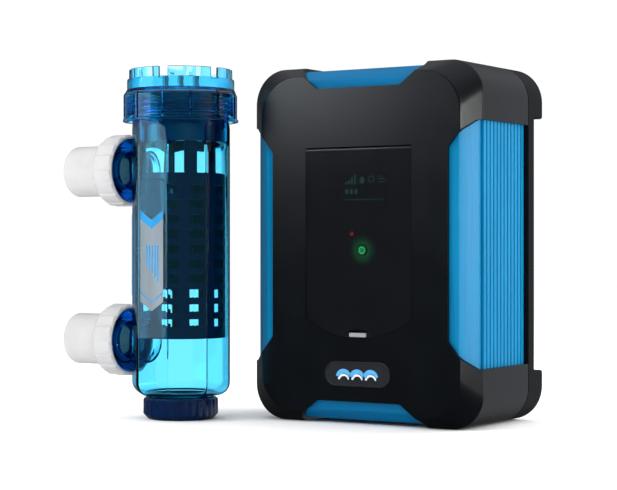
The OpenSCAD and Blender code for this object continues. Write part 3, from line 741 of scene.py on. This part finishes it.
DRAIN_R, DRAIN_NECK_R, DRAIN_LOW = 26.6, 29.8, 6.2
FOOT_Z, FOOT_CURVE, INNER_FOOT_CURVE, FOOT_STEPS = 22.3, 13.0, 10.3, 8
SIDES_TOP, INSIDE_TOP, SEAT_Z = 278.0, 261.0, 266.0
NECK_R, MOUTH_R, MOUTH_Z = 47.4, 42.0, 306.0
THREAD_PITCH = 5.0

PORT_NECK_R, PORT_BORE_R = 19.3, 16
PORT_THREAD_R, PORT_THREAD_T, PORT_THREAD_START, PORT_THREAD_PITCH = 29.8, 1.2, 60, 4
PORT_START, PORT_END = 38, 72

# The raised panel's course round the cell: direction in degrees, its lower and its upper end
PANEL_STOPS = [
    (-71.8, 96, 219), (-72.6, 89.5, 225.5), (-74.5, 86.5, 228.6), (-108, 86.5, 228.6), (-112.5, 87.5, 227.6),
    (-118, 93, 222), (-135, 107, 208), (-157.5, 121, 193), (-166, 121, 193), (-197, 121, 193),
]
PANEL_STEP = 4
PANEL_SUNK, PANEL_OUT, PANEL_EDGE, PANEL_ROUND = 0.8, 0.6, 0.25, 0.35


def sector_angles():
    """Angles of one eighth of the prism, closer together round its corner."""
    tangent = math.degrees(math.atan((FLAT - CORNER_R) * math.tan(math.radians(HALF_SIDE)) / FLAT))
    steps = [tangent + (HALF_SIDE - tangent) * k / CORNER_STEPS for k in range(CORNER_STEPS + 1)]
    return [-a for a in reversed(steps)] + SIDE_STEPS + steps[:-1]


ANGLES = [math.radians(2 * HALF_SIDE * i + a) for i in range(SIDES) for a in sector_angles()]


def prism_radius(angle, half, corner):
    """Distance from the axis to the side of a rounded eight-sided prism."""
    eighth = 2 * math.pi / SIDES
    phi = (angle + eighth / 2) % eighth - eighth / 2
    edge = math.atan((half - corner) * math.tan(eighth / 2) / half)
    if abs(phi) <= edge:
        return half / math.cos(phi)
    far = (half - corner) / math.cos(eighth / 2)
    off = eighth / 2 - abs(phi)
    return far * math.cos(off) + math.sqrt(max(0.0, corner ** 2 - (far * math.sin(off)) ** 2))


def flat_row(half, z, corner=CORNER_R):
    reach = [(a, prism_radius(a, half, corner)) for a in ANGLES]
    return [(r * math.cos(a), r * math.sin(a), z) for a, r in reach]


def round_row(radius, z):
    return [(radius * math.cos(a), radius * math.sin(a), z) for a in ANGLES]


def rounded_foot(half, low, radius, corner):
    """Rows that curve from the foot's flat bottom up into the prism's sides."""
    rows = []
    for k in range(FOOT_STEPS + 1):
        a = math.pi / 2 * k / FOOT_STEPS
        rows.append(flat_row(half - radius * (1 - math.sin(a)), low + radius * (1 - math.cos(a)),
                             max(1.0, corner - radius * 0.3 * (1 - math.sin(a)))))
    return rows


def thread_rows(radius, depth, low, turns):
    """Raised rings, one for each turn, each sloping up, flat and sloping down again."""
    rows = []
    for i in range(turns):
        z = low + i * THREAD_PITCH
        for share, height in ((0, 0), (0.25, depth), (0.5, depth), (0.75, 0)):
            rows.append(round_row(radius + height, z + THREAD_PITCH * share))
    return rows


def make_housing():
    inner_low = FOOT_Z + CELL_WALL
    rows = [round_row(DRAIN_R, DRAIN_LOW), round_row(DRAIN_NECK_R - 0.2, DRAIN_LOW)]
    rows += thread_rows(DRAIN_NECK_R, 1.4, 7.0, 2)
    rows += [round_row(DRAIN_NECK_R, FOOT_Z - 0.3), round_row(31.0, FOOT_Z)]
    rows += rounded_foot(FLAT, FOOT_Z, FOOT_CURVE, CORNER_R)
    rows += [flat_row(FLAT, SIDES_TOP), round_row(NECK_R - 0.8, 285.5)]
    rows += thread_rows(NECK_R, 2.0, 288.0, 3)
    rows += [round_row(NECK_R, MOUTH_Z - 1.0), round_row(NECK_R - 0.6, MOUTH_Z),
             round_row(MOUTH_R + 0.6, MOUTH_Z), round_row(MOUTH_R, MOUTH_Z - 0.8)]
    rows += [round_row(MOUTH_R, SEAT_Z), flat_row(FLAT - CELL_WALL, INSIDE_TOP, INNER_CORNER_R)]
    rows += list(reversed(rounded_foot(FLAT - CELL_WALL, inner_low, INNER_FOOT_CURVE, INNER_CORNER_R)))
    rows += [round_row(DRAIN_R + 0.8, inner_low), round_row(DRAIN_R, inner_low - 1.0)]
    housing = loft("clear_housing", rows, ring=True, sharp=CLEAR_SHARP)
    for z in ((PORT_HEIGHTS[k] - CELL.z) / MM for k in ("lower", "upper")):
        combine(housing, port_rod(z), "UNION", CLEAR_SHARP)
        combine(housing, port_bore(z), "DIFFERENCE", CLEAR_SHARP)
    combine(housing, panel_slab(), "UNION", CLEAR_SHARP)
    piece(housing, "cell", CLEAR_BLUE, CELL, stands_for=["cell_housing"])


def along_port(obj, z):
    obj.data.transform(Matrix.Translation((0, 0, z)) @ PORT_TURN)
    return obj


def port_rod(z):
    """A side port's outside: a flared neck, a flange and a thread of three turns."""
    crest = PORT_THREAD_R + PORT_THREAD_T
    profile = [(0, PORT_START), (22.0, PORT_START), (20.0, 46), (PORT_NECK_R, 49), (PORT_NECK_R, 59.5),
               (PORT_THREAD_R, 59.5)]
    for i in range(3):
        low = PORT_THREAD_START + i * PORT_THREAD_PITCH
        profile += [(PORT_THREAD_R, low), (crest, low + 0.8), (crest, low + 1.8), (PORT_THREAD_R, low + 2.6)]
    profile += [(PORT_THREAD_R, PORT_END), (0, PORT_END)]
    return along_port(turned("rod", lambda a: profile), z)


def port_bore(z):
    profile = [(0, PORT_START - PAST), (20.0, PORT_START - PAST), (16.8, 45), (PORT_BORE_R, 48),
               (PORT_BORE_R, PORT_END + PAST), (0, PORT_END + PAST)]
    return along_port(turned("bore", lambda a: profile), z)


def panel_slab():
    """The raised panel that wraps from the front side round to the side with the ports."""
    rows = []
    for (a0, l0, h0), (a1, l1, h1) in zip(PANEL_STOPS, PANEL_STOPS[1:]):
        parts = max(1, round(abs(a1 - a0) / PANEL_STEP))
        for k in range(parts):
            t = k / parts
            rows.append((a0 + (a1 - a0) * t, l0 + (l1 - l0) * t, h0 + (h1 - h0) * t))
    rows.append(PANEL_STOPS[-1])
    loops = []
    for degrees, low, high in rows:
        a = math.radians(degrees)
        side = prism_radius(a, FLAT, CORNER_R)
        sunk, edge, face = side - PANEL_SUNK, side + PANEL_OUT - PANEL_EDGE, side + PANEL_OUT
        section = [(sunk, low), (edge, low), (face, low + PANEL_ROUND), (face, high - PANEL_ROUND),
                   (edge, high), (sunk, high)]
        loops.append([(r * math.cos(a), r * math.sin(a), z) for r, z in section])
    return loft("panel", loops)


# ---- label ----

LABEL_HALF, LABEL_LOW, LABEL_HIGH, LABEL_POINT = 13.3, 104.0, 199.0, 9.0
LABEL_Y = -FLAT - 0.6
BAND_T, LINE_T = 7.7, 1.2
MARK_BACK = 0.28
STROKES, STROKE_LEFT, STROKE_PITCH, STROKE_W = 5, 6.5, 3.2, 1.5
STROKE_LOW, STROKE_STEP, STROKE_TOP = 132, 4, 166


def chevron(z0, z1):
    half = LABEL_HALF - 0.2
    return [(-half, z0), (0, z0 - LABEL_POINT), (half, z0), (half, z1), (0, z1 - LABEL_POINT), (-half, z1)]


def make_label():
    """A silver film with swallow-tailed ends, and blue marks on it that stand for its print."""
    half, low, high, point = LABEL_HALF, LABEL_LOW, LABEL_HIGH, LABEL_POINT
    shape = [(-half, low + point), (0, low), (half, low + point), (half, high), (0, high - point),
             (-half, high)]
    film = prism("label_film", soft_corners(shape, 0.8, 2), LABEL_Y - 0.3, LABEL_Y + 0.02)
    piece(film, "cell", LABEL_SILVER, CELL, stands_for=["cell_label"])

    back = LABEL_Y - MARK_BACK
    band_low, line_low = high - 8, low + point + 8.0
    marks = [prism("band", chevron(band_low, band_low + BAND_T), LABEL_Y - 0.5, back),
             prism("line", chevron(line_low, line_low + LINE_T), LABEL_Y - 0.5, back)]
    for i in range(STROKES):
        left = STROKE_LEFT - i * STROKE_PITCH
        stroke = box_outline(left, left + STROKE_W, STROKE_LOW + i * STROKE_STEP, STROKE_TOP)
        marks.append(prism("stroke", stroke, LABEL_Y - 0.42, back))
    piece(join("label_marks", marks), "cell", LABEL_BLUE, CELL, stands_for=["label_chevrons"])


# ---- collar, unions and drain cap ----

COLLAR_RIB_R, SKIRT_R, CROWN_RIB_R, CROWN_R = 55.4, 54.2, 50.8, 49.6
# The collar's ribs and castellations: direction of the first one and their pitch, in degrees
SKIRT_RIB_FIRST, SKIRT_RIB_PITCH, SKIRT_RIB_HALF = 17, 30, 1.2
CROWN_RIB_PITCH, CROWN_RIB_HALF = 60, 2.8
GAP_FIRST, GAP_PITCH, GAP_DEPTH = 47, 60, 10.7
GAP_W, GAP_MID_R = 8.4, 48.0
GAP_HALF = math.degrees(math.asin(GAP_W / 2 / GAP_MID_R))
COLLAR_TURNED_STEPS = 120

PVC_SHARP = 34
NUT_GRIPS, NUT_LOW, NUT_HIGH, NUT_STEPS = 16, 59.0, 83.6, 192
NUT_R, NUT_GRIP_T, NUT_THREAD_R, NUT_LIP_R = 34.2, 1.0, 31.3, 25.5
TAIL_LOW, TAIL_R, TAIL_FLANGE_R, TAIL_BORE_R, TAIL_SOCKET_R = 72.3, 25.0, 30.2, 16.0, 20.1
SOCKET_D = 30
CAP_RIBS, CAP_HIGH, CAP_STEPS = 30, 20.2, 240
CAP_R, CAP_RIB_T, CAP_BORE_R, CAP_FLOOR = 35.1, 0.8, 32.2, 4.0


def spaced_angles(count, breaks):
    """Evenly spaced angles with a pair of close ones at every break."""
    tight = math.radians(0.25)
    angles = even_angles(count)
    for b in breaks:
        angles += [(b - tight) % (2 * math.pi), (b + tight) % (2 * math.pi)]
    angles.sort()
    kept = [angles[0]]
    for a in angles[1:]:
        if a - kept[-1] > math.radians(0.2):
            kept.append(a)
    return kept


def near(angle, first, pitch, half):
    """Whether an angle lies within half of one of the evenly pitched directions, all in degrees."""
    off = (math.degrees(angle) - first + pitch / 2) % pitch - pitch / 2
    return abs(off) < half


def collar_profile(a):
    """The collar's section at one angle: skirt, shoulder, castellated crown and threaded inside."""
    skirt = COLLAR_RIB_R if near(a, SKIRT_RIB_FIRST, SKIRT_RIB_PITCH, SKIRT_RIB_HALF) else SKIRT_R
    crown = CROWN_RIB_R if near(a, SKIRT_RIB_FIRST, CROWN_RIB_PITCH, CROWN_RIB_HALF) else CROWN_R
    top = CELL_H - GAP_DEPTH if near(a, GAP_FIRST, GAP_PITCH, GAP_HALF) else CELL_H
    thread = [(49.9, 311.5)]
    z = 308.0
    while z > 288:
        thread += [(50.3, z), (49.9, z - 1.0)]
        z -= 2.7
    foot = [(50.1, 284.5), (55.1, 284.5), (55.48, 284.9), (55.48, 286.6), (skirt, 287.2), (skirt, 309.6)]
    shoulder = [(skirt - 0.7, 310.6), (52.2, 314.4), (51.5, 315.4), (51.5, 324.2), (51.2, 324.9)]
    castle = [(crown, 325.2), (min(crown, 50.2) - 0.1, top - 0.5), (49.3, top), (47.2, top),
              (46.8, top - 0.5), (46.8, 315.0)]
    seat = [(45.8, 314.0), (36.6, 314.0), (36.0, 313.4), (36.0, 312.0), (36.6, 311.5)]
    return foot + shoulder + castle + seat + thread


def make_collar():
    breaks = [math.radians(GAP_FIRST + GAP_PITCH * i + s * GAP_HALF) for i in range(6) for s in (-1, 1)]
    breaks += [math.radians(SKIRT_RIB_FIRST + SKIRT_RIB_PITCH * i + s * SKIRT_RIB_HALF)
               for i in range(12) for s in (-1, 1)]
    collar = turned("clear_collar", collar_profile, spaced_angles(COLLAR_TURNED_STEPS, breaks), CLEAR_SHARP)
    piece(collar, "collar_ring", CLEAR_COLLAR, CELL, stands_for=["collar"])


def nut_profile(a):
    """A union nut's section at one angle: each grip is a shallow ramp."""
    low, high, bore = NUT_LOW, NUT_HIGH, NUT_THREAD_R
    r = NUT_R + NUT_GRIP_T * min(1.0, 1.12 * ((NUT_GRIPS * a / (2 * math.pi)) % 1.0))
    outside = [(bore, low + 0.8), (32.0, low), (33.2, low), (33.9, low + 0.8), (r, low + 1.6),
               (r, high - 4.2), (33.6, high - 2.6), (32.6, high - 0.6), (31.8, high), (26.2, high)]
    lip = [(NUT_LIP_R, high - 0.7), (NUT_LIP_R, 77.7), (bore, 77.7)]
    thread = [(bore + (0.5 if k % 2 else 0.0), 76 - k * 2.0) for k in range(8)]
    return outside + lip + thread


def make_nut(which):
    nut = turned(which + "_union_nut", nut_profile, even_angles(NUT_STEPS), PVC_SHARP)
    piece(nut, which + "_union", PVC, port_origin(which), PORT_TURN,
          stands_for=[which + "_nut"])


def make_tail(which):
    low, out, bore, socket = TAIL_LOW, TAIL_REACH, TAIL_BORE_R, TAIL_SOCKET_R
    groove = [(19.8, low), (19.8, low + 1.8), (24.6, low + 1.8), (24.6, low)]
    flange = [(29.8, low), (TAIL_FLANGE_R, 72.7), (TAIL_FLANGE_R, 76.6), (29.6, 77.3), (TAIL_R, 77.5)]
    pipe = [(TAIL_R, 86.0), (24.6, 86.4), (24.6, 88.0), (TAIL_R, 88.4), (TAIL_R, out - 1.6),
            (24.4, out - 0.3), (23.8, out), (21.4, out)]
    stop = out - SOCKET_D
    inside = [(socket, out - 1.8), (socket, stop), (16.6, stop), (bore, stop - 0.6), (bore, low + 0.6),
              (16.6, low)]
    outline = groove + flange + pipe + inside
    tail = turned(which + "_pipe_tail", lambda a: outline, sharp=PVC_SHARP)
    piece(tail, which + "_pipe", PVC, port_origin(which), PORT_TURN,
          stands_for=[which + "_tail"])


def cap_profile(a):
    """The drain cap's section at one angle, wider along its grip ribs."""
    high, bore = CAP_HIGH, CAP_BORE_R
    wave = 0.5 + 0.5 * math.cos(CAP_RIBS * a)
    r = CAP_R + CAP_RIB_T * min(1.0, max(0.0, (wave - 0.3) * 3))
    return [(0, 0), (30.6, 0), (31.6, 0.4), (34.6, 3.6), (r, 5.0), (r, high - 1.6), (34.9, high - 0.5),
            (34.3, high), (32.6, high), (bore, high - 0.5), (bore, CAP_FLOOR), (0, CAP_FLOOR)]


def make_drain_cap():
    cap = turned("ribbed_cap", cap_profile, even_angles(CAP_STEPS), PVC_SHARP)
    piece(cap, "cap", NAVY, CELL, stands_for=["drain_cap"])


make_cover()
make_heat_sink(1, "right_heat_sink")
make_heat_sink(-1, "left_heat_sink")
make_trim(1, "top_trim")
make_trim(-1, "bottom_trim")
make_bumpers()
make_window()
make_latch()
make_badge()
make_emblem()
make_display_icons()
make_power_ring()
make_housing()
make_label()
make_collar()
for which in ("lower", "upper"):
    make_nut(which)
    make_tail(which)
make_drain_cap()


# ---- camera, lights and stage ----

CAMERA_PLACE = (0.940, -1.435, 0.1665)
# Degrees from facing straight back, towards the left
CAMERA_TURN = 32.6
CAMERA_LENS = 104
SENSOR_W = 36
FLOOR_REACH = 6.0
# A hair below the object, so that the two never share a face
FLOOR_Z = -0.0002

# Studio light that polished faces mirror: direction, where it fades out, strength
MIRRORED_LIGHTS = [
    ((-0.80, 0.60, 0.10), 0.60, 0.12),
    ((0.54, 0.84, 0.05), 0.50, 0.42),
    ((1.0, 0.10, 0.10), 0.90, 0.3),
    ((0.0, 0.0, 1.0), 0.30, 0.6),
]
ROOM_COLOUR = (0.92, 0.96, 1, 1)
ROOM_DARK = 0.02
ROOM_WHITE = 1.03
# How much brighter the white is behind clear plastic
BACK_LIGHT = 0.45
# Share of the white that light mirrored inside clear plastic still meets
INSIDE_WHITE = 0.42

COOL_WHITE = (0.90, 0.95, 1.0)
CYAN_WHITE = (0.55, 0.84, 1.0)


def make_camera():
    camera = bpy.data.objects.new("Camera", bpy.data.cameras.new("Camera"))
    bpy.context.scene.collection.objects.link(camera)
    camera.data.sensor_width = SENSOR_W
    camera.data.lens = CAMERA_LENS
    camera.location = CAMERA_PLACE
    camera.rotation_euler = (math.radians(90), 0, math.radians(CAMERA_TURN))
    bpy.context.scene.camera = camera


def make_floor():
    corners = box_outline(-FLOOR_REACH, FLOOR_REACH, -FLOOR_REACH, FLOOR_REACH)
    floor = mesh_object("floor", [(x, y, FLOOR_Z) for x, y in corners], [(0, 1, 2, 3)])
    floor.data.materials.append(moulded("pale_floor", (0.975, 0.975, 0.975), 0.6, spread=0.01, patch=6,
                                        depth=0.05, specular=0.0))
    floor.visible_glossy = False
    floor.visible_transmission = False


def math_node(nodes, links, operation, *values):
    """The result of a maths node whose inputs are numbers or other nodes' outputs."""
    node = nodes.new("ShaderNodeMath")
    node.operation = operation
    for socket, value in zip(node.inputs, values):
        if isinstance(value, bpy.types.NodeSocket):
            links.new(value, socket)
        else:
            socket.default_value = value
    return node.outputs["Value"]


def background(nodes, links, colour, strength):
    node = nodes.new("ShaderNodeBackground")
    node.inputs["Color"].default_value = colour
    links.new(strength, node.inputs["Strength"])
    return node.outputs["Background"]


def mirrored_light(nodes, links, direction, towards, start, strength):
    """Light that grows smoothly as the direction nears the one it shines from."""
    facing = nodes.new("ShaderNodeVectorMath")
    facing.operation = "DOT_PRODUCT"
    facing.inputs[1].default_value = Vector(towards).normalized()
    links.new(direction, facing.inputs[0])
    fade = nodes.new("ShaderNodeMapRange")
    fade.interpolation_type = "SMOOTHSTEP"
    fade.inputs["From Min"].default_value = start
    fade.inputs["From Max"].default_value = 1.0
    fade.inputs["To Max"].default_value = strength
    links.new(facing.outputs["Value"], fade.inputs["Value"])
    return fade.outputs["Result"]


def mirrored_room(nodes, links):
    """The dark room with its studio lights, as polished faces mirror it."""
    direction = nodes.new("ShaderNodeTexCoord").outputs["Generated"]
    total = ROOM_DARK
    for towards, start, strength in MIRRORED_LIGHTS:
        light = mirrored_light(nodes, links, direction, towards, start, strength)
        total = math_node(nodes, links, "ADD", total, light)
    return background(nodes, links, ROOM_COLOUR, total)


def white_room(nodes, links, seen_through):
    """Plain white, a little brighter where it is seen through clear plastic."""
    strength = math_node(nodes, links, "MULTIPLY_ADD", seen_through, BACK_LIGHT, ROOM_WHITE)
    return background(nodes, links, (1, 1, 1, 1), strength)


def mirrored_share(nodes, links, glossy_depth, seen_through):
    """1 for light that a face mirrored, less where it was mirrored inside clear plastic, otherwise 0."""
    reflected = math_node(nodes, links, "MINIMUM", glossy_depth, 1.0)
    inside = math_node(nodes, links, "MULTIPLY_ADD", seen_through, -INSIDE_WHITE, 1.0)
    return math_node(nodes, links, "MULTIPLY", reflected, inside)


def make_world():
    """White behind the object and in the room's fill light, darker in what polished faces mirror."""
    world = bpy.data.worlds.new("Studio")
    bpy.context.scene.world = world
    world.use_nodes = True
    nodes, links = world.node_tree.nodes, world.node_tree.links
    nodes.clear()
    path = nodes.new("ShaderNodeLightPath")
    seen_through = path.outputs["Is Transmission Ray"]
    mix = nodes.new("ShaderNodeMixShader")
    links.new(mirrored_share(nodes, links, path.outputs["Glossy Depth"], seen_through), mix.inputs["Fac"])
    links.new(white_room(nodes, links, seen_through), mix.inputs[1])
    links.new(mirrored_room(nodes, links), mix.inputs[2])
    out = nodes.new("ShaderNodeOutputWorld")
    links.new(mix.outputs["Shader"], out.inputs["Surface"])


def softbox(name, place, target, size, power, colour=(1, 1, 1), mirrored=True):
    light = bpy.data.lights.new(name, "AREA")
    light.shape = "RECTANGLE"
    light.size, light.size_y = size
    light.energy = power
    light.color = colour
    obj = bpy.data.objects.new(name, light)
    bpy.context.scene.collection.objects.link(obj)
    obj.location = place
    obj.rotation_euler = (Vector(target) - Vector(place)).to_track_quat("-Z", "Y").to_euler()
    obj.visible_glossy = mirrored
    return obj


def centre_x(obj):
    corners = [obj.matrix_world @ Vector(corner) for corner in obj.bound_box]
    return sum(c.x for c in corners) / 8


def on_controller(obj):
    """Whether an object stands on the controller's side of the gap between the two units."""
    return centre_x(obj) > (cover_low.x + collar_high.x) / 2


def made_of(obj, word):
    return word in obj.data.materials[0].name


def light_only(light, chosen):
    """Keeps a studio light on the chosen objects, as a flag would on a photographer's table."""
    group = bpy.data.collections.new(light.name + "_receivers")
    for obj in bpy.context.scene.objects:
        if obj.type == "MESH" and chosen(obj):
            group.objects.link(obj)
    light.light_linking.receiver_collection = group


def make_lights():
    """General light from the front, above and behind, and softboxes that single faces mirror."""
    box_front, box_back = (0.2, 0.0, 0.17), (0.2, 0.05, 0.17)
    softbox("key", (-0.75, -1.15, 0.95), (0.05, -0.02, 0.2), (0.8, 0.8), 7, mirrored=False)
    sheen = softbox("sheen", (-0.66, -0.86, 0.64), (0.1, -0.03, 0.28), (0.52, 0.56), 3.4, COOL_WHITE)
    light_only(sheen, lambda obj: on_controller(obj) and not made_of(obj, "blue"))
    softbox("top", (0.1, 0.0, 1.5), (0.0, 0.0, 0.2), (1.4, 0.9), 3, mirrored=False)
    edge = softbox("edge", (1.36, -1.08, 0.25), box_front, (0.45, 0.9), 12)
    light_only(edge, lambda obj: made_of(obj, "blue_aluminium"))
    facet = softbox("facet", (-0.86, -0.84, 0.40), (-0.09, -0.05, 0.22), (0.75, 0.8), 5.4, CYAN_WHITE)
    light_only(facet, lambda obj: made_of(obj, "blue_clear"))
    softbox("side", (0.95, 1.15, 0.45), box_back, (1.0, 1.0), 20, mirrored=False)
    wide = softbox("wide", (2.6, 0.30, 0.4), box_back, (0.6, 1.6), 11)
    light_only(wide, on_controller)
    corner = softbox("corner", (1.36, -1.08, 0.30), box_front, (0.3, 0.42), 8.5)
    light_only(corner, lambda obj: made_of(obj, "black_moulding"))


make_camera()
make_floor()
make_world()
make_lights()
bpy.context.scene.view_settings.view_transform = "Standard"
